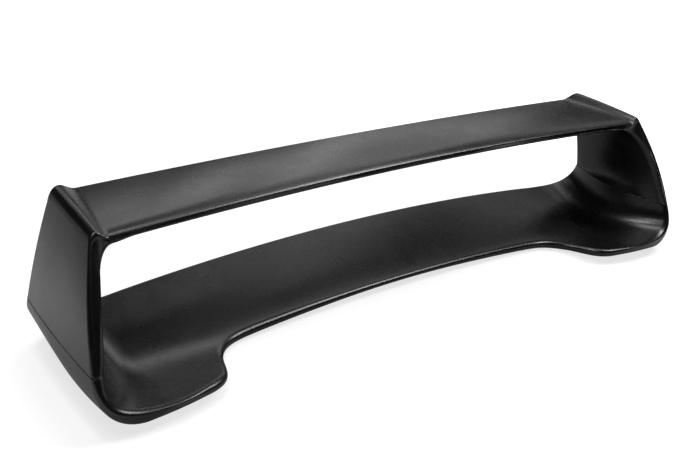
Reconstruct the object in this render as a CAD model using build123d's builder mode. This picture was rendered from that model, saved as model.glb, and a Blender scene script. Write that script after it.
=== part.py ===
from build123d import *
from math import sin, cos, pi, exp, log, sqrt, radians, hypot
import os

os.makedirs("parts", exist_ok=True)

# All lengths in mm. X runs to the car right, Y to its rear, Z up.

# joint plane between the two mouldings
seam_z = 89.4
reveal_gap = 0.6
reveal_depth = 1.5

# foot of the upright at the joint plane
foot_front_y = -112.0
foot_rear_y = 123.5
foot_inner_x = 614.5
foot_inner_bulge = 0.00217
foot_inner_y = 22.0
foot_outer_x = 670.9
foot_outer_bulge = 3.0e-4
foot_outer_y = -30.0

# lower blade, plan outline
base_front_y = -3.1
base_front_sweep = 1.2e-4
lobe_front_y = -148.0
lobe_peak_x = 583.0
lobe_round = 1.38e-3
flank_x = 427.0
flank_width = 8.8
base_rear_y = 161.0
base_rear_sweep = 4.2e-5

# lower blade, heights
valley_y = -12.0
valley_blend = 14.0
valley_z = 15.9
valley_crown = 1.4e-5
lobe_rise = 0.161
rear_z = 64.0
rear_crown = 8.0e-5
nose_thick_mid = 9.0
nose_thick_end = 17.0
nose_thick_x = 404.0
rear_under_mid = 12.0
rear_under_end = -2.0
rear_under_x = 450.0

# bend that carries the lower blade up to the foot
bend_from_x = 480.0
bend_inner_x = 548.0
bend_outer_front_x = 605.0
bend_outer_rear_x = 588.0
bend_inner_angle = 84.0
bend_outer_angle = 98.0
bend_handle = 0.56
bend_reach = 0.76
bend_front_power = 2.0
bend_rear_power = 1.6
bend_rear_dip = 1.66
end_lift_front = 2.5
end_lift_rear = 29.7

# edge rounding of the lower blade
base_roll = 1.2
base_nose_mid = 5.0
base_nose_lobe = 9.0
base_nose_foot = 8.5
base_tail_mid = 4.0
foot_tail = 5.5

# upper blade
wing_front_y = 12.6
wing_front_sweep = 6.8e-5
wing_rear_y = 140.4
wing_rear_sweep = 4.6e-5
wing_front_z = 254.0
wing_front_crown = 9.6e-6
wing_rear_z = 259.8
wing_rear_crown = 5.35e-5
wing_camber = 3.0
wing_nose_thick = 14.0
wing_nose_grow = 2.7e-5
wing_tail_thick = 9.0
wing_belly = 5.0
wing_end_x = 585.0
nose_undercut_mid = -2.4
nose_undercut_grow = 4.46e-5

# tip ridge
ridge_foot_front_x = 606.0
ridge_foot_rear_x = 573.0
ridge_peak_front_x = 617.0
ridge_peak_rear_x = 603.5
ridge_peak_front_z = 257.0
ridge_peak_rear_z = 256.5
ridge_bow = 1.8
ridge_power = 1.4
ridge_shoulder = 15.0

# upright
rake_front = 0.61
rake_rear = 0.122
front_bow = 6.2
side_bow = 2.9
lean = 29.7
lean_curve = 12.8
upright_z = 160.6
upright_front_thick = 23.1
upright_front_taper = 4.0
upright_rear_thick = 25.5
upright_rear_taper = 2.0
upright_belly = 15.0
upright_belly_taper = 9.0
foot_flare = 24.0
corner_radius = 31.0
lip_fade = 26.0

# edge rounding of the upper moulding
wing_nose_top = 4.0
wing_roll = 4.2
wing_nose_under = 6.5
upright_nose = 8.5
foot_nose = 8.5
wing_tail_round = 3.0
upright_tail_round = 5.0


def mix(a, b, t):
    return a + (b - a) * t


def ease(t):
    t = min(max(t, 0.0), 1.0)
    return t * t * (3 - 2 * t)


def ramp(t, blend):
    """Zero for negative t, t for positive t, rounded over the blend length."""
    q = t / blend
    if q > 30:
        return t
    if q < -30:
        return 0.0
    return blend * log(1 + exp(q))


def bezier(p, a, b, q, t):
    s = 1 - t
    w = (s ** 3, 3 * t * s * s, 3 * t * t * s, t ** 3)
    return tuple(w[0] * p[i] + w[1] * a[i] + w[2] * b[i] + w[3] * q[i] for i in range(2))


def foot_inner(y):
    return foot_inner_x + foot_inner_bulge * (y - foot_inner_y) ** 2


def foot_outer(y):
    return foot_outer_x - foot_outer_bulge * (y - foot_outer_y) ** 2


# lower blade surfaces

def base_front(x):
    middle = base_front_y - base_front_sweep * x * x
    lobe = lobe_front_y + lobe_round * (lobe_peak_x - x) ** 2
    t = (x - flank_x) / flank_width
    return mix(middle, lobe, 1 / (1 + exp(-t * (0.73 + 0.27 * t / (1 + abs(t))))))


def base_rear(x):
    return base_rear_y - base_rear_sweep * x * x


def base_top(x, y):
    x = min(x, 620.0)
    low = valley_z - valley_crown * x * x
    high = rear_z - rear_crown * x * x
    slope = (high - low - 2.5) / (base_rear(x) - valley_y)
    back = slope * ramp(y - valley_y, valley_blend)
    return low + back + lobe_rise * ramp(valley_y - y, valley_blend)


def base_under(x, y):
    x = min(x, 620.0)
    grow = (1 - exp(-1.9 * (x / nose_thick_x) ** 2)) / (1 - exp(-1.9))
    thick = nose_thick_mid + (nose_thick_end - nose_thick_mid) * grow
    front = base_top(x, min(y, valley_y)) - thick
    q = min(x / rear_under_x, 1.0) ** 2
    rear = mix(rear_under_mid, rear_under_end, q * (2 - q))
    return mix(front, rear, ease((y - valley_y) / (base_rear(x) - valley_y)))


def base_under_end(x, y, x_end):
    lift = mix(end_lift_front, end_lift_rear, ease((y + 100) / 230))
    return base_under(x, y) + lift * ease((x - bend_from_x) / (x_end - bend_from_x + 30))


def base_faces(u, y):
    """Top and under points (x, z) of the lower blade: u 0-1 flat, 1-2 run-out, 2-3 bend."""
    outer_x = mix(bend_outer_front_x, bend_outer_rear_x, ease((y + 148) / 300))
    if u <= 1:
        x = bend_from_x * u
        return (x, base_top(x, y)), (x, base_under(x, y))
    if u <= 2:
        xt = mix(bend_from_x, bend_inner_x, u - 1)
        xb = mix(bend_from_x, outer_x, u - 1)
        return (xt, base_top(xt, y)), (xb, base_under_end(xb, y, outer_x))
    t = u - 2
    h = bend_handle
    z = base_top(bend_inner_x, y)
    s = z - base_top(bend_inner_x - 1, y)
    x = foot_inner(y)
    a = x - bend_inner_x
    b = seam_z - z
    g = radians(bend_inner_angle)
    start = (bend_inner_x, z)
    out = (bend_inner_x + bend_reach * a, z + s * bend_reach * a)
    top = bezier(start, out, (x - cos(g) * h * b, seam_z - sin(g) * h * b), (x, seam_z), t)
    z = base_under_end(outer_x, y, outer_x)
    s = z - base_under_end(outer_x - 1, y, outer_x)
    x = foot_outer(y)
    a = x - outer_x
    b = seam_z - z
    g = radians(bend_outer_angle)
    start = (outer_x, z)
    out = (outer_x + 1.14 * h * a, z + s * h * a)
    low = bezier(start, out, (x - cos(g) * h * b, seam_z - sin(g) * h * b), (x, seam_z), t)
    return top, low


def base_edges(u):
    """Front y, rear y and the plan stretch of the nose at a station of the lower blade."""
    x = bend_from_x * u if u <= 1 else mix(bend_from_x, bend_inner_x + 10, min(u - 1, 1.0))
    front = base_front(x)
    rear = base_rear(x)
    if u <= 2:
        slope = base_front(x + 0.5) - base_front(x - 0.5)
        return front, rear, sqrt(1 + slope * slope)
    t = u - 2
    dip = bend_rear_dip * t ** bend_rear_power - (bend_rear_dip - 1) * t ** (2 * bend_rear_power)
    front = mix(front, foot_front_y, t ** bend_front_power)
    return front, mix(rear, foot_rear_y, dip), 1.0


# upper blade and upright surfaces

def wing_front(x):
    return wing_front_y - wing_front_sweep * x * x


def wing_rear(x):
    return wing_rear_y + wing_rear_sweep * x * x


def wing_top(x, y):
    c = (y - wing_front(x)) / (wing_rear(x) - wing_front(x))
    front = wing_front_z - wing_front_crown * x * x
    rear = wing_rear_z - wing_rear_crown * x * x
    return mix(front, rear, c) + wing_camber * 4 * c * (1 - c)


def wing_under(x, y):
    c = (y - wing_front(x)) / (wing_rear(x) - wing_front(x))
    thick = mix(wing_nose_thick + wing_nose_grow * x * x, wing_tail_thick, c)
    return wing_top(x, y) - thick - wing_belly * 4 * c * (1 - c) * (1 - c)


def height(z):
    return (z - seam_z) / upright_z


def upright_outer(y, z):
    s = height(z)
    bow = side_bow * 4 * s * (1 - s) * ease((60 - y) / 120)
    return foot_outer(y) - lean * s - lean_curve * s * s + bow


def upright_front(z):
    s = height(z)
    return foot_front_y + rake_front * (z - seam_z) - front_bow * 4 * s * (1 - s)


def front_line(z):
    """Front edge at a height: the blade's above, the upright's below, rounded where they meet."""
    edge = wing_front(wing_end_x)
    return edge - ramp(edge - upright_front(z), 2.5)


def upright_rear(z):
    return foot_rear_y + rake_rear * (z - seam_z)


def upright_thick(c, s):
    front = upright_front_thick - upright_front_taper * s
    rear = upright_rear_thick - upright_rear_taper * s
    return mix(front, rear, c) + (upright_belly - upright_belly_taper * s) * 4 * c * (1 - c)


def upright_inner(y, z):
    s = height(z)
    c = (y - upright_front(z)) / (upright_rear(z) - upright_front(z))
    c = min(max(c, -0.3), 1.3)
    y0 = mix(foot_front_y, foot_rear_y, c)
    flare = foot_outer(y0) - upright_thick(c, 0) - foot_inner(y0)
    return upright_outer(y, z) - upright_thick(c, s) - flare * exp(-(z - seam_z) / foot_flare)


def wing_faces(u, y):
    """Outer and inner points (x, z): u 0-1 blade, 1-2 ridge, 2-3 shoulder, 3-4 upright."""
    c = (y + 11) / 165
    start_x = mix(ridge_foot_front_x, ridge_foot_rear_x, c) - mix(5, 9, c)
    peak_x = mix(ridge_peak_front_x, ridge_peak_rear_x, c)
    peak_z = mix(ridge_peak_front_z, ridge_peak_rear_z, c) + ridge_bow * 4 * c * (1 - c)
    r = corner_radius
    in_x = upright_inner(y, wing_under(upright_inner(y, 205.0) + 4 - r, y) - r) - r
    if u <= 1:
        xo = start_x * u
        xi = in_x * u
        return (xo, wing_top(xo, y)), (xi, wing_under(xi, y))
    low_z = peak_z - ridge_shoulder
    foot_z = seam_z + reveal_gap
    if u <= 2:
        x = mix(start_x, peak_x, u - 1)
        outer = (x, mix(wing_top(x, y), peak_z, ease(u - 1) ** ridge_power))
    elif u <= 3:
        xe = upright_outer(y, low_z)
        s = xe - upright_outer(y, low_z - 1)
        crest = (mix(peak_x, xe, 0.62), peak_z)
        outer = bezier((peak_x, peak_z), crest, (xe + 8 * s, low_z + 8), (xe, low_z), u - 2)
    else:
        z = mix(low_z, foot_z, u - 3)
        outer = (upright_outer(y, z), z)
    in_z = wing_under(in_x, y)
    end_z = in_z - r
    if u <= 3:
        h = 0.56 * r
        xe = upright_inner(y, end_z)
        s = upright_inner(y, end_z + 1) - xe
        b = in_z - wing_under(in_x - 1, y)
        out = (in_x + h, in_z + b * h)
        inner = bezier((in_x, in_z), out, (xe + s * h, end_z + h), (xe, end_z), (u - 1) / 2)
    else:
        z = mix(end_z, foot_z, u - 3)
        inner = (upright_inner(y, z), z)
    return outer, inner


def wing_edges(u):
    """Front y on the outer side, front y on the inner side and rear y of the upper moulding."""
    if u <= 1:
        x = wing_end_x * u
        cut = nose_undercut_mid + nose_undercut_grow * x * x
        front = wing_front(x)
        return front, front + cut * (1 - 0.4 * ease((u - 0.93) / 0.07)), wing_rear(x)
    outer = wing_front(wing_end_x)
    end = inner = outer + 0.6 * (nose_undercut_mid + nose_undercut_grow * wing_end_x ** 2)
    end_z = wing_faces(1, end)[1][1]
    for i in range(8):
        outer = front_line(wing_faces(u, outer)[0][1])
        z = wing_faces(u, inner)[1][1]
        inner = upright_front(z) + (end - upright_front(end_z)) * exp((z - end_z) / lip_fade)
    if u <= 3:
        return outer, inner, mix(wing_rear(wing_end_x), upright_rear(243), ease((u - 1) / 2))
    return outer, inner, upright_rear(mix(235, seam_z + reveal_gap, u - 3))


def section(faces, front_out, front_in, rear, nose_out, nose_in, stretch, roll, tail, run, arc):
    """Closed section through the two faces, rounded at the nose and at the tail."""
    def half(y):
        a, b = faces(y)
        return 0.5 * sqrt((a[0] - b[0]) ** 2 + (a[1] - b[1]) ** 2)
    lo = nose_out * stretch * roll
    li = nose_in * stretch
    ko = min(nose_out / half(front_out + lo), 0.9)
    ki = min(nose_in / half(front_in + li), 0.9)
    kt = min(tail / half(rear - tail), 0.85)
    quarter = [pi / 2 * i / arc for i in range(arc + 1)]
    flat = (0.12, 0.35, 0.65, 0.88)
    loop = [(mix(front_in, front_out, t), mix(ki - 1, 1 - ko, t)) for t in (0.5, 0.65, 0.88)]
    loop += [(front_out + lo * (1 - cos(a)), 1 - ko * (1 - sin(a))) for a in quarter]
    loop += [(mix(front_out + lo, rear - tail, t), 1.0) for t in run]
    loop += [(rear - tail + tail * sin(a), 1 - kt * (1 - cos(a))) for a in quarter]
    loop += [(rear, mix(1 - kt, kt - 1, t)) for t in flat]
    loop += [(rear - tail + tail * sin(a), kt * (1 - cos(a)) - 1) for a in reversed(quarter)]
    loop += [(mix(rear - tail, front_in + li, 1 - t), -1.0) for t in reversed(run)]
    loop += [(front_in + li * (1 - cos(a)), ki * (1 - sin(a)) - 1) for a in reversed(quarter)]
    loop += [(mix(front_in, front_out, t), mix(ki - 1, 1 - ko, t)) for t in (0.12, 0.35)]
    points = []
    for y, k in loop:
        a, b = faces(y)
        points.append((mix(b[0], a[0], (1 + k) / 2), y, mix(b[1], a[1], (1 + k) / 2)))
    return points


def base_section(u, run, arc):
    front, rear, stretch = base_edges(u)
    if u <= 2:
        nose = mix(base_nose_mid, base_nose_lobe, ease(u * bend_from_x / 430))
    else:
        nose = mix(base_nose_lobe, base_nose_foot, u - 2)
    tail = mix(base_tail_mid, foot_tail, ease(u - 1))
    roll = mix(base_roll, 1.0, ease(u - 2))
    return section(lambda y: base_faces(u, y), front, front, rear, nose, nose, stretch, roll, tail, run, arc)


def wing_section(u, run, arc):
    front_out, front_in, rear = wing_edges(u)
    q = ease((u - 1) / 2)
    out = mix(wing_nose_top, upright_nose, q)
    inn = mix(wing_nose_under, upright_nose, q)
    if u > 3:
        out = mix(upright_nose, foot_nose, u - 3)
        inn = out
    tail = mix(wing_tail_round, upright_tail_round, q)
    if u > 3:
        tail = mix(upright_tail_round, foot_tail, u - 3)
    roll = mix(wing_roll, 1.0, ease((u - 0.9) / 0.5))
    return section(lambda y: wing_faces(u, y), front_out, front_in, rear, out, inn, 1.0, roll, tail, run, arc)


# stations along each hoop, from the middle of the blade to the joint plane
section_run = (0.03, 0.1, 0.25, 0.5, 0.75, 0.92)
section_arc = 3
notch_steps = (-6, -4, -2.8, -2, -1.3, -0.65, 0, 0.65, 1.3, 2, 2.8, 4, 5.5)
base_stations = [0, 0.16, 0.32, 0.48, 0.63, 0.74]
base_stations += [(flank_x + s * flank_width) / bend_from_x for s in notch_steps]
base_stations += [1.25, 1.6, 2, 2.12, 2.24, 2.36, 2.48, 2.6, 2.72, 2.85, 3]
wing_stations = [0, 0.2, 0.4, 0.58, 0.73, 0.84, 0.91, 0.955, 0.985, 1.1, 1.3, 1.5, 1.7, 1.9, 2.1]
wing_stations += [2.3, 2.5, 2.7, 2.9, 3.04, 3.1, 3.18, 3.3, 3.45, 3.6, 3.75, 3.88, 4]

# screws that pull the uprights down onto the base, from beneath
screw_y = (-50.0, 15.0, 80.0)
screw_d = 6.0
screw_grip = 26.0
screw_engage = 14.0
screw_head_d = 10.5
screw_head_h = 3.3
screw_socket = 4.0
screw_socket_deep = 2.0
screw_bore_clearance = 0.3
screw_thread_clearance = 0.05
washer_d = 12.0
washer_h = 1.6
washer_bore_clearance = 0.2
head_pocket_clearance = 0.75

# blind inserts that take the bolts from inside the boot lid
insert_spots = ((520.0, -62.0), (505.0, 88.0), (250.0, 70.0))
insert_d = 10.0
insert_long = 11.0
insert_thread = 5.0
insert_thread_deep = 9.0
insert_groove = 0.6
insert_groove_h = 2.0
spot_face_d = 18.0
spot_face_deep = 1.6

# foam tape let into the underside: half width or inner and outer x, then y range
tape_deep = 1.5
tape_recess = 0.1
tape_side_clearance = 0.4
tape_long_x = 300.0
tape_front_y = (12.0, 28.0)
tape_rear_y = (112.0, 130.0)
tape_lobe_x = (476.0, 566.0)
tape_lobe_y = (-126.0, -104.0)


def smooth_edge(points, start, end):
    """Spline through the points, timed by chord length, with unit tangents at its ends."""
    times = [0.0]
    for p, q in zip(points, points[1:]):
        times.append(times[-1] + (q - p).length)
    return Edge.make_spline(points, tangents=[start, end], parameters=times, scale=False)


def section_edges(points):
    """Section as four edges: outer side, tail, inner side and nose."""
    a = 3 + section_arc
    b = a + len(section_run) + 1
    c = b + 2 * section_arc + 5
    d = c + len(section_run) + 1
    ta = (points[a + 1] - points[a]).normalized()
    tb = (points[b] - points[b - 1]).normalized()
    tc = (points[c + 1] - points[c]).normalized()
    td = (points[d] - points[d - 1]).normalized()
    outer = smooth_edge(points[a:b + 1], ta, tb)
    tail = smooth_edge(points[b:c + 1], tb, tc)
    inner = smooth_edge(points[c:d + 1], tc, td)
    nose = smooth_edge(points[d:] + points[:a + 1], td, ta)
    return [outer, tail, inner, nose]


def drawn_in(loop, depth):
    """Plan outline of the foot section, drawn in by a depth."""
    kept = [loop[0]]
    for point in loop[1:]:
        if hypot(point[0] - kept[-1][0], point[1] - kept[-1][1]) > 2 * depth:
            kept.append(point)
    moved = []
    for i in range(len(kept)):
        before, point, after = kept[i - 1], kept[i], kept[(i + 1) % len(kept)]
        run_x, run_y = after[0] - before[0], after[1] - before[1]
        long = hypot(run_x, run_y)
        moved.append((point[0] + depth * run_y / long, point[1] - depth * run_x / long))
    return moved


def hoop(shape, stations):
    """Solid ruled through one side's sections and their mirror images, foot to foot."""
    sides = [(-1, u) for u in reversed(stations[1:])] + [(1, u) for u in stations]
    rings = []
    for side, u in sides:
        loop = shape(u, section_run, section_arc)
        rings.append(section_edges([Vector(side * x, y, z) for x, y, z in loop]))
    faces = [Face(Wire(rings[0])), Face(Wire(rings[-1]))]
    for ring, after in zip(rings, rings[1:]):
        faces += [Face.make_surface_from_curves(p, q) for p, q in zip(ring, after)]
    return Solid(Shell(faces))


def cylinder_up(x, y, z, radius, length, mode=Mode.ADD):
    """Upright cylinder whose lower face is centred on the point."""
    with Locations((x, y, z)):
        Cylinder(radius, length, align=(Align.CENTER, Align.CENTER, Align.MIN), mode=mode)


joint_spots = []
for side in (-1, 1):
    for y in screw_y:
        joint_spots.append((side * (foot_inner(y) + foot_outer(y)) / 2, y))
seat_z = seam_z - screw_grip

mount_spots = []
for side in (-1, 1):
    for x, y in insert_spots:
        mount_spots.append((side * x, y, base_under_end(x, y, bend_outer_rear_x) + spot_face_deep))

# inserts: grooved sleeves that the base is moulded round
with BuildPart() as mount_inserts:
    for x, y, z in mount_spots:
        cylinder_up(x, y, z, insert_d / 2, insert_long)
        groove_z = z + (insert_long - insert_groove_h) / 2
        cylinder_up(x, y, groove_z, insert_d / 2, insert_groove_h, Mode.SUBTRACT)
        cylinder_up(x, y, groove_z, insert_d / 2 - insert_groove, insert_groove_h)
insert_envelope = mount_inserts.part
with BuildPart() as mount_inserts:
    add(insert_envelope)
    for x, y, z in mount_spots:
        cylinder_up(x, y, z, insert_thread / 2, insert_thread_deep, Mode.SUBTRACT)

# lower moulding before the tape pockets
with BuildPart() as base_body:
    add(hoop(base_section, base_stations))
under_z = base_body.part.bounding_box().min.Z


def tape_column(x_range, y_range, grow):
    """Block of the base standing on the strip of underside that the tape covers."""
    x0, x1 = x_range[0] - grow, x_range[1] + grow
    y0, y1 = y_range[0] - grow, y_range[1] + grow
    inner = max(min(abs(x0), abs(x1)), 0.0) if x0 * x1 > 0 else 0.0
    outer = max(abs(x0), abs(x1))
    high = max(base_under(x, y) for x in (inner, outer) for y in (y0, y1)) + 3
    with BuildPart() as column:
        add(base_body.part)
        with Locations(((x0 + x1) / 2, (y0 + y1) / 2, (high + under_z - 5) / 2)):
            Box(x1 - x0, y1 - y0, high - under_z + 5, mode=Mode.INTERSECT)
    return column.part


def tape_layer(x_range, y_range, grow, thick):
    """Layer of even thickness that follows the underside."""
    block = tape_column(x_range, y_range, grow)
    with BuildPart() as layer:
        add(block)
        add(Pos(0, 0, thick) * block, mode=Mode.SUBTRACT)
    return layer.part


def tape_pad(x_range, y_range):
    """Tape strip, a little shy of the underside around it."""
    pad = tape_layer(x_range, y_range, 0, tape_deep)
    recess = tape_layer(x_range, y_range, 5, tape_recess)
    with BuildPart() as trimmed:
        add(pad)
        add(recess, mode=Mode.SUBTRACT)
    return trimmed.part


strips = [((-tape_long_x, tape_long_x), tape_front_y), ((-tape_long_x, tape_long_x), tape_rear_y)]
strips += [(tape_lobe_x, tape_lobe_y), ((-tape_lobe_x[1], -tape_lobe_x[0]), tape_lobe_y)]

pads = [tape_pad(x_range, y_range) for x_range, y_range in strips]
pockets = [tape_layer(x, y, tape_side_clearance, tape_deep) for x, y in strips]
with BuildPart() as foam_tape:
    for pad in pads:
        add(pad)

# lower moulding, with a seat inside the reveal that the upright stands on
foot_loop = base_section(3, section_run, section_arc)
seat_outline = drawn_in(foot_loop, reveal_depth)
with BuildPart() as lower_base:
    add(base_body.part)
    for side in (-1, 1):
        with BuildSketch(Plane.XY.offset(seam_z - 2)):
            with BuildLine():
                Polyline([(side * x, y) for x, y in seat_outline], close=True)
            make_face()
        extrude(amount=2 + reveal_gap)
    for pocket in pockets:
        add(pocket, mode=Mode.SUBTRACT)
    for x, y, z in mount_spots:
        cylinder_up(x, y, z - 30, spot_face_d / 2, 30, Mode.SUBTRACT)
    add(insert_envelope, mode=Mode.SUBTRACT)
    for x, y in joint_spots:
        bore = screw_d / 2 + screw_bore_clearance
        pocket = washer_d / 2 + head_pocket_clearance
        cylinder_up(x, y, seat_z - 80, pocket, 80, Mode.SUBTRACT)
        cylinder_up(x, y, seat_z - 1, bore, screw_grip + 2, Mode.SUBTRACT)

# upper moulding
with BuildPart() as upper_wing:
    add(hoop(wing_section, wing_stations))
    for x, y in joint_spots:
        bore = screw_d / 2 + screw_thread_clearance
        cylinder_up(x, y, seam_z, bore, screw_engage + 3, Mode.SUBTRACT)

# joint screws and washers
with BuildPart() as joint_washers:
    for x, y in joint_spots:
        cylinder_up(x, y, seat_z - washer_h, washer_d / 2, washer_h)
        bore = screw_d / 2 + washer_bore_clearance
        cylinder_up(x, y, seat_z - washer_h, bore, washer_h, Mode.SUBTRACT)

head_z = seat_z - washer_h - screw_head_h
with BuildPart() as screw:
    cylinder_up(0, 0, 0, screw_head_d / 2, screw_head_h)
    fillet(edges().group_by(Axis.Z)[0], screw_head_h * 0.55)
    with BuildSketch(Plane.XY):
        RegularPolygon(screw_socket / 2, 6, major_radius=False)
    extrude(amount=screw_socket_deep, mode=Mode.SUBTRACT)
    cylinder_up(0, 0, screw_head_h, screw_d / 2, washer_h + screw_grip + screw_engage)
    chamfer(edges().group_by(Axis.Z)[-1], 0.8)
with BuildPart() as joint_screws:
    for x, y in joint_spots:
        with Locations((x, y, head_z)):
            add(screw.part)

# origin: middle of the footprint, lowest point of the mouldings at Z = 0
box = lower_base.part.bounding_box()
top_box = upper_wing.part.bounding_box()
rear = max(box.max.Y, top_box.max.Y)
front = min(box.min.Y, top_box.min.Y)
home = Pos(0, -(rear + front) / 2, -box.min.Z)
print("origin shift", home.position)

upper_wing.part = home * upper_wing.part
upper_wing.part.label = "upper_wing"
export_step(upper_wing.part, "parts/upper_wing.step")
lower_base.part = home * lower_base.part
lower_base.part.label = "lower_base"
export_step(lower_base.part, "parts/lower_base.step")
joint_screws.part = home * joint_screws.part
joint_screws.part.label = "joint_screws"
export_step(joint_screws.part, "parts/joint_screws.step")
joint_washers.part = home * joint_washers.part
joint_washers.part.label = "joint_washers"
export_step(joint_washers.part, "parts/joint_washers.step")
mount_inserts.part = home * mount_inserts.part
mount_inserts.part.label = "mount_inserts"
export_step(mount_inserts.part, "parts/mount_inserts.step")
foam_tape.part = home * foam_tape.part
foam_tape.part.label = "foam_tape"
export_step(foam_tape.part, "parts/foam_tape.step")
for piece in (upper_wing, lower_base, joint_screws, joint_washers, mount_inserts, foam_tape):
    print(piece.part.label, piece.part.is_valid, len(piece.part.solids()), round(piece.part.volume))
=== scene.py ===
from math import sin, cos, pi, exp, log, sqrt, radians, hypot

import bmesh
import bpy
from mathutils import Matrix, Vector


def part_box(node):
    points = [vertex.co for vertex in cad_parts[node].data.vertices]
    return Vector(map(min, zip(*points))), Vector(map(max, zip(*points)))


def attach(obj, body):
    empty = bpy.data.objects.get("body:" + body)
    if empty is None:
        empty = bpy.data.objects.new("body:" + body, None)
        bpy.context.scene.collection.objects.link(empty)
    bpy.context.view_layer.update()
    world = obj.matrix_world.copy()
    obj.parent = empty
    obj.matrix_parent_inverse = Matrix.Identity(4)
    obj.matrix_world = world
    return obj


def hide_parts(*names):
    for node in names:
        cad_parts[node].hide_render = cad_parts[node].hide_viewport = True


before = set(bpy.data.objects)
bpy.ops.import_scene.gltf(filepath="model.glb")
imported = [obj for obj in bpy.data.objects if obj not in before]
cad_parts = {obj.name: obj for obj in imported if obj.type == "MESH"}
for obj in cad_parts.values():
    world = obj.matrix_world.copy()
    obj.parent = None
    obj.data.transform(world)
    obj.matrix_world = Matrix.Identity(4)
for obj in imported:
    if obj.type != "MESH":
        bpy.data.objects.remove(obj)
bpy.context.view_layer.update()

# The formulas work in mm: X to the car right, Y to its rear, Z up.

# joint plane between the two mouldings, with a wider and deeper gap than the CAD's
seam_z = 89.4
reveal_gap = 1.3
reveal_depth = 4.0

# foot of the upright at the joint plane
foot_front_y = -112.0
foot_rear_y = 123.5
foot_inner_x = 614.5
foot_inner_bulge = 0.00217
foot_inner_y = 22.0
foot_outer_x = 670.9
foot_outer_bulge = 3.0e-4
foot_outer_y = -30.0

# lower blade, plan outline
base_front_y = -3.1
base_front_sweep = 1.2e-4
lobe_front_y = -148.0
lobe_peak_x = 583.0
lobe_round = 1.38e-3
flank_x = 427.0
flank_width = 8.8
flank_steepness = 0.73
flank_skew = 0.27
base_rear_y = 161.0
base_rear_sweep = 4.2e-5

# lower blade, heights; past the last x both faces run level
base_last_x = 620.0
valley_y = -12.0
valley_blend = 14.0
valley_z = 15.9
valley_crown = 1.4e-5
lobe_rise = 0.161
rear_z = 64.0
rear_crown = 8.0e-5
rear_slack = 2.5
nose_thick_mid = 9.0
nose_thick_end = 17.0
nose_thick_x = 404.0
nose_thick_haste = 1.9
rear_under_mid = 12.0
rear_under_end = -2.0
rear_under_x = 450.0

# bend that carries the lower blade up to the foot
bend_from_x = 480.0
bend_inner_x = 548.0
bend_outer_front_x = 605.0
bend_outer_rear_x = 588.0
bend_front_y = -148.0
bend_run = 300.0
bend_edge_x = 558.0
bend_inner_angle = 84.0
bend_outer_angle = 98.0
bend_handle = 0.56
bend_reach = 0.76
bend_under_reach = 1.14
bend_front_power = 2.0
bend_rear_power = 1.6
bend_rear_dip = 1.66
end_lift_front = 2.5
end_lift_rear = 29.7
end_lift_y = -100.0
end_lift_run = 230.0
end_lift_past = 30.0

# edge rounding of the lower blade
base_roll = 1.2
base_nose_mid = 5.0
base_nose_lobe = 9.0
base_nose_foot = 8.5
base_nose_x = 430.0
base_tail_mid = 4.0
foot_tail = 5.5

# upper blade
wing_front_y = 12.6
wing_front_sweep = 6.8e-5
wing_rear_y = 140.4
wing_rear_sweep = 4.6e-5
wing_front_z = 254.0
wing_front_crown = 9.6e-6
wing_rear_z = 259.8
wing_rear_crown = 5.35e-5
wing_camber = 3.0
wing_nose_thick = 14.0
wing_nose_grow = 2.7e-5
wing_tail_thick = 9.0
wing_belly = 5.0
wing_end_x = 585.0
nose_undercut_mid = -2.4
nose_undercut_grow = 4.46e-5
undercut_loss = 0.4
undercut_from = 0.93
undercut_over = 0.07

# tip ridge
ridge_foot_front_x = 606.0
ridge_foot_rear_x = 573.0
ridge_peak_front_x = 617.0
ridge_peak_rear_x = 603.5
ridge_peak_front_z = 257.0
ridge_peak_rear_z = 256.5
ridge_bow = 1.8
ridge_power = 1.4
ridge_shoulder = 15.0
ridge_y = -11.0
ridge_run = 165.0
ridge_lead_front = 5
ridge_lead_rear = 9
crest_reach = 0.62
crest_handle = 8

# upright
rake_front = 0.61
rake_rear = 0.122
front_bow = 6.2
side_bow = 2.9
side_bow_y = 60
side_bow_run = 120
lean = 29.7
lean_curve = 12.8
upright_z = 160.6
upright_front_thick = 23.1
upright_front_taper = 4.0
upright_rear_thick = 25.5
upright_rear_taper = 2.0
upright_belly = 15.0
upright_belly_taper = 9.0
past_edge = 0.3
foot_flare = 24.0
corner_radius = 31.0
corner_handle = 0.56
corner_try_x = 4
corner_try_z = 205.0
front_blend = 2.5
lip_fade = 26.0
shoulder_rear_z = 243
upright_rear_z = 235
edge_tries = 8

# edge rounding of the upper moulding
wing_nose_top = 5.5
wing_roll = 4.5
roll_from = 0.9
roll_over = 0.5
wing_nose_under = 6.5
upright_nose = 8.5
foot_nose = 8.5
wing_tail_round = 3.0
upright_tail_round = 5.0


def mix(a, b, t):
    return a + (b - a) * t


def ease(t):
    t = min(max(t, 0.0), 1.0)
    return t * t * (3 - 2 * t)


def ramp(t, blend):
    """Zero for negative t, t for positive t, rounded over the blend length."""
    q = t / blend
    if q > 30:
        return t
    if q < -30:
        return 0.0
    return blend * log(1 + exp(q))


def bezier(p, a, b, q, t):
    s = 1 - t
    w = (s ** 3, 3 * t * s * s, 3 * t * t * s, t ** 3)
    return tuple(w[0] * p[i] + w[1] * a[i] + w[2] * b[i] + w[3] * q[i] for i in range(2))


def foot_inner(y):
    return foot_inner_x + foot_inner_bulge * (y - foot_inner_y) ** 2


def foot_outer(y):
    return foot_outer_x - foot_outer_bulge * (y - foot_outer_y) ** 2


# lower blade surfaces

def base_front(x):
    middle = base_front_y - base_front_sweep * x * x
    lobe = lobe_front_y + lobe_round * (lobe_peak_x - x) ** 2
    t = (x - flank_x) / flank_width
    firm = flank_steepness + flank_skew * t / (1 + abs(t))
    return mix(middle, lobe, 1 / (1 + exp(-t * firm)))


def base_rear(x):
    return base_rear_y - base_rear_sweep * x * x


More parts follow.
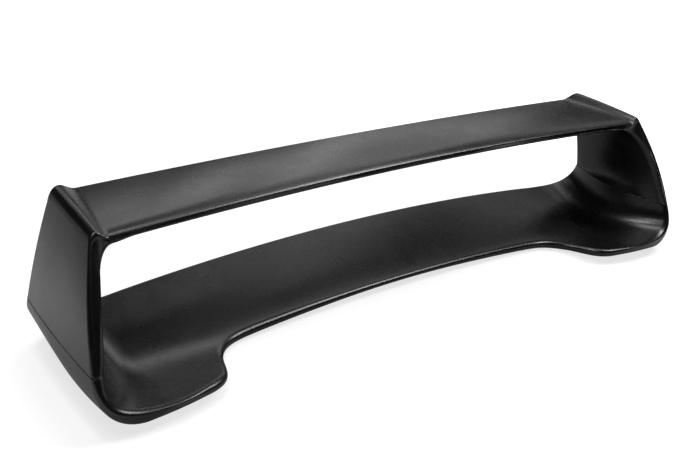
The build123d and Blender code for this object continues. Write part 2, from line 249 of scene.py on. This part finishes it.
def base_top(x, y):
    x = min(x, base_last_x)
    low = valley_z - valley_crown * x * x
    high = rear_z - rear_crown * x * x
    slope = (high - low - rear_slack) / (base_rear(x) - valley_y)
    back = slope * ramp(y - valley_y, valley_blend)
    return low + back + lobe_rise * ramp(valley_y - y, valley_blend)


def base_under(x, y):
    x = min(x, base_last_x)
    grow = 1 - exp(-nose_thick_haste * (x / nose_thick_x) ** 2)
    grow = grow / (1 - exp(-nose_thick_haste))
    thick = nose_thick_mid + (nose_thick_end - nose_thick_mid) * grow
    front = base_top(x, min(y, valley_y)) - thick
    q = min(x / rear_under_x, 1.0) ** 2
    rear = mix(rear_under_mid, rear_under_end, q * (2 - q))
    return mix(front, rear, ease((y - valley_y) / (base_rear(x) - valley_y)))


def base_under_end(x, y, x_end):
    lift = mix(end_lift_front, end_lift_rear, ease((y - end_lift_y) / end_lift_run))
    run = x_end - bend_from_x + end_lift_past
    return base_under(x, y) + lift * ease((x - bend_from_x) / run)


def bend_curve(x0, face, x1, angle, reach_x, reach_z, t):
    """From where a face ends at x0 up to x1 on the joint plane, which it meets at the angle."""
    z = face(x0)
    s = z - face(x0 - 1)
    run = x1 - x0
    rise = seam_z - z
    a = radians(angle)
    out = (x0 + reach_x * run, z + s * reach_z * run)
    back = (x1 - cos(a) * bend_handle * rise, seam_z - sin(a) * bend_handle * rise)
    return bezier((x0, z), out, back, (x1, seam_z), t)


def base_faces(u, y):
    """Top and under points (x, z) of the lower blade: u 0-1 flat, 1-2 run-out, 2-3 bend."""
    outer_x = mix(bend_outer_front_x, bend_outer_rear_x, ease((y - bend_front_y) / bend_run))
    if u <= 1:
        x = bend_from_x * u
        return (x, base_top(x, y)), (x, base_under(x, y))
    if u <= 2:
        xt = mix(bend_from_x, bend_inner_x, u - 1)
        xb = mix(bend_from_x, outer_x, u - 1)
        return (xt, base_top(xt, y)), (xb, base_under_end(xb, y, outer_x))
    top = bend_curve(bend_inner_x, lambda x: base_top(x, y), foot_inner(y),
                     bend_inner_angle, bend_reach, bend_reach, u - 2)
    low = bend_curve(outer_x, lambda x: base_under_end(x, y, outer_x), foot_outer(y),
                     bend_outer_angle, bend_under_reach * bend_handle, bend_handle, u - 2)
    return top, low


def base_edges(u):
    """Front y, rear y and the plan stretch of the nose at a station of the lower blade."""
    x = bend_from_x * u if u <= 1 else mix(bend_from_x, bend_edge_x, min(u - 1, 1.0))
    front = base_front(x)
    rear = base_rear(x)
    if u <= 2:
        slope = base_front(x + 0.5) - base_front(x - 0.5)
        return front, rear, sqrt(1 + slope * slope)
    t = u - 2
    dip = bend_rear_dip * t ** bend_rear_power
    dip = dip - (bend_rear_dip - 1) * t ** (2 * bend_rear_power)
    front = mix(front, foot_front_y, t ** bend_front_power)
    return front, mix(rear, foot_rear_y, dip), 1.0


# upper blade and upright surfaces

def wing_front(x):
    return wing_front_y - wing_front_sweep * x * x


def wing_rear(x):
    return wing_rear_y + wing_rear_sweep * x * x


def wing_top(x, y):
    c = (y - wing_front(x)) / (wing_rear(x) - wing_front(x))
    front = wing_front_z - wing_front_crown * x * x
    rear = wing_rear_z - wing_rear_crown * x * x
    return mix(front, rear, c) + wing_camber * 4 * c * (1 - c)


def wing_under(x, y):
    c = (y - wing_front(x)) / (wing_rear(x) - wing_front(x))
    thick = mix(wing_nose_thick + wing_nose_grow * x * x, wing_tail_thick, c)
    return wing_top(x, y) - thick - wing_belly * 4 * c * (1 - c) * (1 - c)


def height(z):
    return (z - seam_z) / upright_z


def upright_outer(y, z):
    s = height(z)
    bow = side_bow * 4 * s * (1 - s) * ease((side_bow_y - y) / side_bow_run)
    return foot_outer(y) - lean * s - lean_curve * s * s + bow


def upright_front(z):
    s = height(z)
    return foot_front_y + rake_front * (z - seam_z) - front_bow * 4 * s * (1 - s)


def front_line(z):
    """Front edge at a height: the blade's above, the upright's below, rounded between."""
    edge = wing_front(wing_end_x)
    return edge - ramp(edge - upright_front(z), front_blend)


def upright_rear(z):
    return foot_rear_y + rake_rear * (z - seam_z)


def upright_thick(c, s):
    front = upright_front_thick - upright_front_taper * s
    rear = upright_rear_thick - upright_rear_taper * s
    return mix(front, rear, c) + (upright_belly - upright_belly_taper * s) * 4 * c * (1 - c)


def upright_inner(y, z):
    s = height(z)
    c = (y - upright_front(z)) / (upright_rear(z) - upright_front(z))
    c = min(max(c, -past_edge), 1 + past_edge)
    y0 = mix(foot_front_y, foot_rear_y, c)
    flare = foot_outer(y0) - upright_thick(c, 0) - foot_inner(y0)
    return upright_outer(y, z) - upright_thick(c, s) - flare * exp(-(z - seam_z) / foot_flare)


def wing_faces(u, y):
    """Outer and inner points (x, z): u 0-1 blade, 1-2 ridge, 2-3 shoulder, 3-4 upright."""
    c = (y - ridge_y) / ridge_run
    start_x = mix(ridge_foot_front_x, ridge_foot_rear_x, c)
    start_x = start_x - mix(ridge_lead_front, ridge_lead_rear, c)
    peak_x = mix(ridge_peak_front_x, ridge_peak_rear_x, c)
    peak_z = mix(ridge_peak_front_z, ridge_peak_rear_z, c) + ridge_bow * 4 * c * (1 - c)
    r = corner_radius
    try_x = upright_inner(y, corner_try_z) + corner_try_x - r
    in_x = upright_inner(y, wing_under(try_x, y) - r) - r
    if u <= 1:
        xo = start_x * u
        xi = in_x * u
        return (xo, wing_top(xo, y)), (xi, wing_under(xi, y))
    low_z = peak_z - ridge_shoulder
    foot_z = seam_z + reveal_gap
    if u <= 2:
        x = mix(start_x, peak_x, u - 1)
        outer = (x, mix(wing_top(x, y), peak_z, ease(u - 1) ** ridge_power))
    elif u <= 3:
        xe = upright_outer(y, low_z)
        s = xe - upright_outer(y, low_z - 1)
        crest = (mix(peak_x, xe, crest_reach), peak_z)
        back = (xe + crest_handle * s, low_z + crest_handle)
        outer = bezier((peak_x, peak_z), crest, back, (xe, low_z), u - 2)
    else:
        z = mix(low_z, foot_z, u - 3)
        outer = (upright_outer(y, z), z)
    in_z = wing_under(in_x, y)
    end_z = in_z - r
    if u <= 3:
        h = corner_handle * r
        xe = upright_inner(y, end_z)
        s = upright_inner(y, end_z + 1) - xe
        b = in_z - wing_under(in_x - 1, y)
        out = (in_x + h, in_z + b * h)
        back = (xe + s * h, end_z + h)
        inner = bezier((in_x, in_z), out, back, (xe, end_z), (u - 1) / 2)
    else:
        z = mix(end_z, foot_z, u - 3)
        inner = (upright_inner(y, z), z)
    return outer, inner


def undercut(x):
    return nose_undercut_mid + nose_undercut_grow * x ** 2


def wing_edges(u):
    """Front y on the outer side, front y on the inner side and rear y of the upper moulding."""
    if u <= 1:
        x = wing_end_x * u
        kept = 1 - undercut_loss * ease((u - undercut_from) / undercut_over)
        front = wing_front(x)
        return front, front + undercut(x) * kept, wing_rear(x)
    outer = wing_front(wing_end_x)
    end = inner = outer + (1 - undercut_loss) * undercut(wing_end_x)
    end_z = wing_faces(1, end)[1][1]
    for i in range(edge_tries):
        outer = front_line(wing_faces(u, outer)[0][1])
        z = wing_faces(u, inner)[1][1]
        inner = upright_front(z) + (end - upright_front(end_z)) * exp((z - end_z) / lip_fade)
    if u <= 3:
        rear = mix(wing_rear(wing_end_x), upright_rear(shoulder_rear_z), ease((u - 1) / 2))
    else:
        rear = upright_rear(mix(upright_rear_z, seam_z + reveal_gap, u - 3))
    return outer, inner, rear


# places round a section: steps of a rounding, steps along a face, shares across an edge
section_arc = 9
run_steps = 24
run_margin = 0.6
run_last = run_steps - 1 + 2 * run_margin
section_run = [0.5 - 0.5 * cos(pi * (i + run_margin) / run_last) for i in range(run_steps)]
quarter = [pi / 2 * i / section_arc for i in range(section_arc + 1)]
flat = (0.12, 0.35, 0.65, 0.88)
nose_share = 0.9   # most of the half thickness that a rounding may take
tail_share = 0.85


def section(faces, front_out, front_in, rear, nose_out, nose_in, stretch, roll, tail):
    """Closed section through the two faces, rounded at the nose and at the tail."""
    def half(y):
        a, b = faces(y)
        return 0.5 * sqrt((a[0] - b[0]) ** 2 + (a[1] - b[1]) ** 2)

    lo = nose_out * stretch * roll
    li = nose_in * stretch
    ko = min(nose_out / half(front_out + lo), nose_share)
    ki = min(nose_in / half(front_in + li), nose_share)
    kt = min(tail / half(rear - tail), tail_share)

    def across(t):
        return mix(front_in, front_out, t), mix(ki - 1, 1 - ko, t)

    loop = [across(t) for t in (0.5, *flat[2:])]
    loop += [(front_out + lo * (1 - cos(a)), 1 - ko * (1 - sin(a))) for a in quarter]
    loop += [(mix(front_out + lo, rear - tail, t), 1.0) for t in section_run]
    loop += [(rear - tail + tail * sin(a), 1 - kt * (1 - cos(a))) for a in quarter]
    loop += [(rear, mix(1 - kt, kt - 1, t)) for t in flat]
    loop += [(rear - tail + tail * sin(a), kt * (1 - cos(a)) - 1) for a in reversed(quarter)]
    loop += [(mix(rear - tail, front_in + li, 1 - t), -1.0) for t in reversed(section_run)]
    loop += [(front_in + li * (1 - cos(a)), ki * (1 - sin(a)) - 1) for a in reversed(quarter)]
    loop += [across(t) for t in flat[:2]]
    points = []
    for y, k in loop:
        a, b = faces(y)
        points.append((mix(b[0], a[0], (1 + k) / 2), y, mix(b[1], a[1], (1 + k) / 2)))
    return points


def base_section(u):
    front, rear, stretch = base_edges(u)
    if u <= 2:
        nose = mix(base_nose_mid, base_nose_lobe, ease(u * bend_from_x / base_nose_x))
    else:
        nose = mix(base_nose_lobe, base_nose_foot, u - 2)
    tail = mix(base_tail_mid, foot_tail, ease(u - 1))
    roll = mix(base_roll, 1.0, ease(u - 2))
    return section(lambda y: base_faces(u, y), front, front, rear, nose, nose, stretch, roll, tail)


def wing_section(u):
    front_out, front_in, rear = wing_edges(u)
    if u <= 3:
        q = ease((u - 1) / 2)
        out = mix(wing_nose_top, upright_nose, q)
        inn = mix(wing_nose_under, upright_nose, q)
        tail = mix(wing_tail_round, upright_tail_round, q)
    else:
        out = inn = mix(upright_nose, foot_nose, u - 3)
        tail = mix(upright_tail_round, foot_tail, u - 3)
    roll = mix(wing_roll, 1.0, ease((u - roll_from) / roll_over))
    return section(lambda y: wing_faces(u, y), front_out, front_in, rear, out, inn, 1.0, roll, tail)


# moves the formulas' origin to the middle of the part's box on the floor
home_y = -6.93211
home_z = 1.99931


def row(x, y, z):
    """A point of the formulas in the shared frame, in metres."""
    return (x / 1000, (y + home_y) / 1000, (z + home_z) / 1000)


def stations(*parts):
    """Places of the rings from 0 on, given as (up to this u, in so many even steps)."""
    every, start = [0.0], 0.0
    for end, count in parts:
        every += [start + (end - start) * (i + 1) / count for i in range(count)]
        start = end
    return every


base_stations = stations((0.74, 50), (1.0, 44), (2.0, 16), (3.0, 40))
wing_stations = stations((0.84, 56), (1.0, 26), (2.0, 18), (3.0, 18), (4.0, 40))

edge_round = 0.45
round_steps = 4
chord = 3.0   # shortest stretch of a rim that gives its direction


def drawn_in(loop, depth, z):
    """A foot section drawn in by a depth and laid on a level, for the right-hand side."""
    count = len(loop)
    moved = []
    for i in range(count):
        back, on = i - 1, (i + 1) % count
        while hypot(loop[on][0] - loop[back][0], loop[on][1] - loop[back][1]) < chord:
            back, on = back - 1, (on + 1) % count
        dx, dy = loop[on][0] - loop[back][0], loop[on][1] - loop[back][1]
        span = hypot(dx, dy)
        moved.append((loop[i][0] + depth * dy / span, loop[i][1] - depth * dx / span, z))
    return moved


def foot_rings(foot, way):
    """Rim of a foot, rounded: way is 1 where the rim faces up and -1 where it faces down."""
    z = foot[0][2]
    rings = [[(p[0], p[1], p[2] - way * edge_round) for p in foot]]
    for i in range(1, round_steps + 1):
        a = pi / 2 * i / round_steps
        rings.append(drawn_in(foot, edge_round * (1 - cos(a)), z - way * edge_round * (1 - sin(a))))
    return rings


def mesh_object(name, points, faces):
    mesh = bpy.data.meshes.new(name)
    mesh.from_pydata([row(*p) for p in points], [], faces)
    mesh.update()
    mesh.validate()
    piece = bpy.data.objects.new(name, mesh)
    bpy.context.scene.collection.objects.link(piece)
    return piece


def hoop_object(name, rings):
    """Closed skin through one side's rings and their mirror images, capped at both feet."""
    count = len(rings[0])
    left = [[(-x, y, z) for x, y, z in ring] for ring in reversed(rings[1:])]
    every = left + rings
    points = [p for ring in every for p in ring]
    faces = []
    for k in range(len(every) - 1):
        a, b = k * count, (k + 1) * count
        for i in range(count):
            j = (i + 1) % count
            faces.append((a + i, a + j, b + j, b + i))
    faces.append(tuple(range(count - 1, -1, -1)))
    last = (len(every) - 1) * count
    faces.append(tuple(range(last, last + count)))
    return mesh_object(name, points, faces)


def face_out(piece):
    work = bmesh.new()
    work.from_mesh(piece.data)
    bmesh.ops.recalc_face_normals(work, faces=work.faces)
    work.to_mesh(piece.data)
    work.free()


def smooth(piece, angle):
    piece.data.polygons.foreach_set("use_smooth", [True] * len(piece.data.polygons))
    piece.data.set_sharp_from_angle(angle=radians(angle))
    piece.data.update()


def kept_inside(piece, node):
    """Holds the dense skin inside the box of the coarser CAD solid it stands for."""
    low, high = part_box(node)
    for vertex in piece.data.vertices:
        for k in range(3):
            vertex.co[k] = min(max(vertex.co[k], low[k]), high[k])


# lower moulding, with the seat that the upright stands on
rings = [base_section(u) for u in base_stations]
foot = rings.pop()
rings += foot_rings(foot, 1)
rings.append(drawn_in(foot, reveal_depth, seam_z))
rings.append(drawn_in(foot, reveal_depth, seam_z + reveal_gap))
base = hoop_object("lower_moulding", rings)
face_out(base)

# upper moulding
rings = [wing_section(u) for u in wing_stations]
foot = rings.pop()
rings += foot_rings(foot, -1)
wing = hoop_object("upper_moulding", rings)
face_out(wing)

# what is cut into the underside of the lower moulding
screw_y = (-50.0, 15.0, 80.0)
insert_spots = ((520.0, -62.0), (505.0, 88.0), (250.0, 70.0))
tape_strips = ((-300.0, 300.0, 12.0, 28.0), (-300.0, 300.0, 112.0, 130.0),
               (476.0, 566.0, -126.0, -104.0), (-566.0, -476.0, -126.0, -104.0))
tape_clear = 0.4
tape_deep = 1.5
cut_from_z = -20.0   # every cut starts below the part
well_top_z = seam_z - 26.0
well_radius = 6.75
seat_deep = 1.6
seat_radius = 9.0
bore_below = 5.0
bore_above = 11.0
bore_radius = 5.0
cylinder_sides = 40
pocket_steps_x = 60
pocket_steps_y = 4


def add_cylinder(points, faces, x, y, z0, z1, radius):
    first = len(points)
    sides = cylinder_sides
    for z in (z0, z1):
        for i in range(sides):
            a = 2 * pi * i / sides
            points.append((x + radius * cos(a), y + radius * sin(a), z))
    for i in range(sides):
        j = (i + 1) % sides
        faces.append((first + i, first + j, first + sides + j, first + sides + i))
    faces.append(tuple(first + i for i in reversed(range(sides))))
    faces.append(tuple(first + sides + i for i in range(sides)))


def add_pocket(points, faces, x0, x1, y0, y1):
    """Block under the strip whose upper side follows the underside of the moulding."""
    first = len(points)
    nx, ny = pocket_steps_x, pocket_steps_y
    xs = [mix(x0 - tape_clear, x1 + tape_clear, i / nx) for i in range(nx + 1)]
    ys = [mix(y0 - tape_clear, y1 + tape_clear, j / ny) for j in range(ny + 1)]
    points += [(x, y, base_under(abs(x), y) + tape_deep) for x in xs for y in ys]
    points += [(x, y, cut_from_z) for x in xs for y in ys]
    w = ny + 1
    low = first + (nx + 1) * w
    for i in range(nx):
        for j in range(ny):
            a = i * w + j
            faces.append((first + a, first + a + w, first + a + w + 1, first + a + 1))
            faces.append((low + a, low + a + 1, low + a + w + 1, low + a + w))
        for j in (0, ny):
            a = i * w + j
            faces.append((first + a, low + a, low + a + w, first + a + w))
    for i in (0, nx):
        for j in range(ny):
            a = i * w + j
            faces.append((first + a, first + a + 1, low + a + 1, low + a))


def cut(piece, points, faces):
    tool = mesh_object("tool", points, faces)
    face_out(tool)
    change = piece.modifiers.new("cut", "BOOLEAN")
    change.operation = "DIFFERENCE"
    change.solver = "EXACT"
    change.object = tool
    graph = bpy.context.evaluated_depsgraph_get()
    result = bpy.data.meshes.new_from_object(piece.evaluated_get(graph))
    piece.modifiers.clear()
    old = piece.data
    piece.data = result
    bpy.data.meshes.remove(old)
    bpy.data.objects.remove(tool)


seats = [(side * x, y, base_under_end(x, y, bend_outer_rear_x) + seat_deep)
         for side in (-1, 1) for x, y in insert_spots]
points, faces = [], []
for strip in tape_strips:
    add_pocket(points, faces, *strip)
for side in (-1, 1):
    for y in screw_y:
        x = side * (foot_inner(y) + foot_outer(y)) / 2
        add_cylinder(points, faces, x, y, cut_from_z, well_top_z, well_radius)
cut(base, points, faces)
points, faces = [], []
for x, y, z in seats:
    add_cylinder(points, faces, x, y, cut_from_z, z, seat_radius)
cut(base, points, faces)
points, faces = [], []
for x, y, z in seats:
    add_cylinder(points, faces, x, y, z - bore_below, z + bore_above, bore_radius)
cut(base, points, faces)

sharp_angle = 32
for piece, node in ((base, "lower_base"), (wing, "upper_wing")):
    kept_inside(piece, node)
    smooth(piece, sharp_angle)
    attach(piece, "root")
    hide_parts(node)


# materials

def new_material(name):
    material = bpy.data.materials.new(name)
    material.use_nodes = True
    tree = material.node_tree
    tree.nodes.clear()
    shader = tree.nodes.new("ShaderNodeBsdfPrincipled")
    out = tree.nodes.new("ShaderNodeOutputMaterial")
    tree.links.new(shader.outputs["BSDF"], out.inputs["Surface"])
    return material, tree, shader


def noise(tree, scale, detail, roughness, stretch=(1, 1, 1)):
    """Noise over the object's own coordinates, with scale in turns per metre."""
    place = tree.nodes.new("ShaderNodeTexCoord")
    mapping = tree.nodes.new("ShaderNodeMapping")
    mapping.inputs["Scale"].default_value = stretch
    node = tree.nodes.new("ShaderNodeTexNoise")
    node.inputs["Scale"].default_value = scale
    node.inputs["Detail"].default_value = detail
    node.inputs["Roughness"].default_value = roughness
    tree.links.new(place.outputs["Object"], mapping.inputs["Vector"])
    tree.links.new(mapping.outputs["Vector"], node.inputs["Vector"])
    return node.outputs["Fac"]


def to_range(tree, value, low, high, from_low=0.3, from_high=0.7):
    node = tree.nodes.new("ShaderNodeMapRange")
    node.inputs["From Min"].default_value = from_low
    node.inputs["From Max"].default_value = from_high
    node.inputs["To Min"].default_value = low
    node.inputs["To Max"].default_value = high
    tree.links.new(value, node.inputs["Value"])
    return node.outputs["Result"]


def colours(tree, value, *stops):
    node = tree.nodes.new("ShaderNodeValToRGB")
    ramp_node = node.color_ramp
    while len(ramp_node.elements) < len(stops):
        ramp_node.elements.new(0.5)
    for element, (place, colour) in zip(ramp_node.elements, stops):
        element.position = place
        element.color = (*colour, 1)
    tree.links.new(value, node.inputs["Fac"])
    return node.outputs["Color"]


def bump(tree, shader, height_value, strength, distance, under=None):
    node = tree.nodes.new("ShaderNodeBump")
    node.inputs["Strength"].default_value = strength
    node.inputs["Distance"].default_value = distance
    tree.links.new(height_value, node.inputs["Height"])
    if under is not None:
        tree.links.new(under, node.inputs["Normal"])
    tree.links.new(node.outputs["Normal"], shader.inputs["Normal"])
    return node.outputs["Normal"]


def math_node(tree, operation, a, b):
    node = tree.nodes.new("ShaderNodeMath")
    node.operation = operation
    for socket, value in zip(node.inputs, (a, b)):
        if isinstance(value, (int, float)):
            socket.default_value = value
        else:
            tree.links.new(value, socket)
    return node.outputs["Value"]


def tinted(tree, shader, value, dark, pale):
    """Base colour from dark to pale over the middle of a noise."""
    tint = colours(tree, value, (0.3, dark), (0.7, pale))
    tree.links.new(tint, shader.inputs["Base Color"])


def rough(tree, shader, value, low, high):
    tree.links.new(to_range(tree, value, low, high), shader.inputs["Roughness"])


# satin black plastic: long soft waves left by the mould, a barely visible grain, colour drift
satin, tree, shader = new_material("satin_black_plastic")
drift = noise(tree, 9.0, 3.0, 0.55, (0.35, 1.0, 1.0))
tinted(tree, shader, drift, (0.0034, 0.0034, 0.0036), (0.0050, 0.0050, 0.0053))
rough(tree, shader, noise(tree, 26.0, 4.0, 0.6), 0.25, 0.30)
shader.inputs["Specular IOR Level"].default_value = 0.5
waves = bump(tree, shader, noise(tree, 14.0, 1.0, 0.4, (0.5, 1.0, 1.0)), 0.10, 0.002)
bump(tree, shader, noise(tree, 1100.0, 2.0, 0.5), 0.01, 0.00012, waves)


def turned_metal(name, blotches, dark, pale, patches, low, high, marks, way):
    """Bare metal with fine turning marks and patchy brightness, scales in turns per metre."""
    material, tree, shader = new_material(name)
    shader.inputs["Metallic"].default_value = 1.0
    tinted(tree, shader, noise(tree, blotches, 3.0, 0.6), dark, pale)
    rough(tree, shader, noise(tree, patches, 2.0, 0.5), low, high)
    bump(tree, shader, noise(tree, marks, 2.0, 0.6, way), 0.15, 0.0001)
    return material


zinc = turned_metal("zinc_plated_steel", 240.0, (0.50, 0.51, 0.52), (0.68, 0.68, 0.66),
                    400.0, 0.26, 0.42, 2600.0, (0.2, 1.0, 1.0))
brass = turned_metal("turned_brass", 180.0, (0.55, 0.38, 0.15), (0.72, 0.54, 0.24),
                     500.0, 0.24, 0.40, 3000.0, (1.0, 1.0, 0.2))

# foam tape: matt, open-pored
foam, tree, shader = new_material("grey_foam_tape")
pores = noise(tree, 900.0, 4.0, 0.7)
tinted(tree, shader, pores, (0.035, 0.035, 0.037), (0.085, 0.085, 0.088))
shader.inputs["Roughness"].default_value = 0.92
bump(tree, shader, pores, 0.5, 0.0004)

for piece in (base, wing):
    piece.data.materials.clear()
    piece.data.materials.append(satin)
for node, material in (("joint_screws", zinc), ("joint_washers", zinc),
                       ("mount_inserts", brass), ("foam_tape", foam)):
    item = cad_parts[node]
    for place in item.material_slots:
        place.link = "OBJECT"
        place.material = material

# camera at the photograph's angle
right = Vector((0.77522186, -0.61695319, 0.13564596))
up = Vector((0.19759129, 0.44079123, 0.87559167))
forward = Vector((0.59999063, 0.65197535, -0.46361557))
turn = Matrix((right, up, -forward)).transposed().to_4x4()
place = Vector((-1.1732, -1.1234 + home_y / 1000, 0.9421 + home_z / 1000))
focal_pixels = 1000
photo_width = 700
data = bpy.data.cameras.new("camera")
data.sensor_fit = "HORIZONTAL"
data.sensor_width = 36.0
data.lens = data.sensor_width * focal_pixels / photo_width
data.clip_end = 100
camera = bpy.data.objects.new("camera", data)
camera.matrix_world = Matrix.Translation(place) @ turn
bpy.context.scene.collection.objects.link(camera)
bpy.context.scene.camera = camera


def lit_as_gloss(tree, path):
    """1 for the rays that gloss or glass sends out, 0 for the others."""
    rays = path.outputs["Is Glossy Ray"], path.outputs["Is Transmission Ray"]
    return math_node(tree, "MAXIMUM", *rays)


# floor: measures are metres from the middle
floor_half = 14
near_shade_tone, far_tone = 0.38, 0.74   # painted shade: floor duller close to the part, which mirrors it there as shade
tone_from, tone_to = 0.62, 0.85
near_lift, far_lift = 0.75, 1.0    # what the camera adds: white floor that keeps a soft shadow
lift_from, lift_to = 0.8, 2.0
painted_reflection_ring = 0.45                   # painted reflection: glow that only gloss sees, in a ring that the left upright mirrors
ring_from, ring_to = 0.9, 1.4
least_glow = 0.05


def stage_mesh(name, points, faces):
    mesh = bpy.data.meshes.new(name)
    mesh.from_pydata(points, [], faces)
    mesh.update()
    item = bpy.data.objects.new(name, mesh)
    bpy.context.scene.collection.objects.link(item)
    return item


corners = [(-floor_half, -floor_half, 0), (floor_half, -floor_half, 0),
           (floor_half, floor_half, 0), (-floor_half, floor_half, 0)]
floor = stage_mesh("floor", corners, [(0, 1, 2, 3)])
floor_material, tree, shader = new_material("pale_floor")
spot = tree.nodes.new("ShaderNodeNewGeometry")
length = tree.nodes.new("ShaderNodeVectorMath")
length.operation = "LENGTH"
tree.links.new(spot.outputs["Position"], length.inputs[0])
reach = length.outputs["Value"]
# floor colour with painted shade close to the part: the camera sees it white through its lift, the
# part mirrors it dark
tone = to_range(tree, reach, near_shade_tone, far_tone, tone_from, tone_to)
tree.links.new(tone, shader.inputs["Base Color"])
shader.inputs["Roughness"].default_value = 0.9
shader.inputs["Specular IOR Level"].default_value = 0.0
path = tree.nodes.new("ShaderNodeLightPath")
gloss = lit_as_gloss(tree, path)
# painted reflection: gloss-only glow on the floor that rises past the shaded disc and fades out
# over the ring
painted_reflection_glow = to_range(tree, reach, 0.0, 1.0, tone_from, tone_to)
painted_reflection_glow = math_node(tree, "MULTIPLY", painted_reflection_glow, to_range(tree, reach, painted_reflection_ring, 0.0, ring_from, ring_to))
lift = math_node(tree, "MULTIPLY", gloss, math_node(tree, "ADD", painted_reflection_glow, least_glow))
camera_lift = to_range(tree, reach, near_lift, far_lift, lift_from, lift_to)
camera_lift = math_node(tree, "MULTIPLY", path.outputs["Is Camera Ray"], camera_lift)
lift = math_node(tree, "ADD", lift, camera_lift)
shader.inputs["Emission Color"].default_value = (1, 1, 1, 1)
tree.links.new(lift, shader.inputs["Emission Strength"])
floor.data.materials.append(floor_material)

# world: white for the camera; gloss and glass see that white as a low band round the horizon
world_fill = 0.02
band_from, band_to = 0.01, 0.07
world = bpy.data.worlds.new("studio")
bpy.context.scene.world = world
world.use_nodes = True
tree = world.node_tree
tree.nodes.clear()
path = tree.nodes.new("ShaderNodeLightPath")
place = tree.nodes.new("ShaderNodeTexCoord")
split = tree.nodes.new("ShaderNodeSeparateXYZ")
tree.links.new(place.outputs["Generated"], split.inputs["Vector"])
band = to_range(tree, split.outputs["Z"], 1.0, 0.0, band_from, band_to)
level = math_node(tree, "MULTIPLY", lit_as_gloss(tree, path), band)
level = math_node(tree, "MAXIMUM", level, world_fill)
level = math_node(tree, "MAXIMUM", level, path.outputs["Is Camera Ray"])
sky = tree.nodes.new("ShaderNodeBackground")
sky.inputs["Color"].default_value = (1, 1, 1, 1)
tree.links.new(level, sky.inputs["Strength"])
out = tree.nodes.new("ShaderNodeOutputWorld")
tree.links.new(sky.outputs["Background"], out.inputs["Surface"])

lamps = (   # name, azimuth from the car's right towards its rear, elevation, width, height, level
    ("back_low", 45, 18, 1.05, 0.33, 0.8),
    ("back_1", 25, 24, 1.05, 0.33, 0.6),
    ("back_2", 45, 24, 1.05, 0.33, 1.5),
    ("back_3", 25, 30, 1.05, 0.33, 0.7),
    ("back_4", 60, 30, 0.9, 0.33, 2.4),
    ("back_5", 85, 30, 1.05, 0.33, 1.9),
    ("back_6", 45, 36, 1.05, 0.33, 1.9),
    ("back_7", 72, 37, 0.75, 0.35, 3.0),
    ("back_8", 45, 42, 1.05, 0.33, 1.5),
    ("high_1", 25, 54, 1.05, 0.33, 1.6),
    ("high_2", 45, 54, 1.05, 0.33, 0.6),
    ("edge_1", 350, 52, 0.7, 0.7, 7.0),
    ("edge_2", 340, 50, 0.5, 0.5, 22.0),
    ("edge_3", 0, 60, 0.9, 0.7, 9.0),
    ("left_1", 200, 58, 0.8, 0.6, 7.0),
    ("left_2", 165, 71, 0.8, 0.6, 14.0),
    ("top", 60, 73, 0.9, 0.9, 6.0),
)
lamp_distance = 3.0
lamp_aim = Vector((0, 0, 0.14))


def soft_box(name, azimuth, elevation, size_x, size_y, level):
    """Soft box that faces the object, its level being how white it looks from there."""
    data = bpy.data.lights.new(name, "AREA")
    data.shape = "RECTANGLE"
    data.size = size_x
    data.size_y = size_y
    data.energy = level * pi * size_x * size_y
    item = bpy.data.objects.new(name, data)
    a, e = radians(azimuth), radians(elevation)
    way = Vector((cos(a) * cos(e), sin(a) * cos(e), sin(e)))
    item.location = lamp_aim + way * lamp_distance
    item.rotation_euler = way.to_track_quat("Z", "Y").to_euler()
    item.visible_camera = False
    bpy.context.scene.collection.objects.link(item)


for lamp in lamps:
    soft_box(*lamp)

bpy.context.scene.view_settings.view_transform = "Standard"
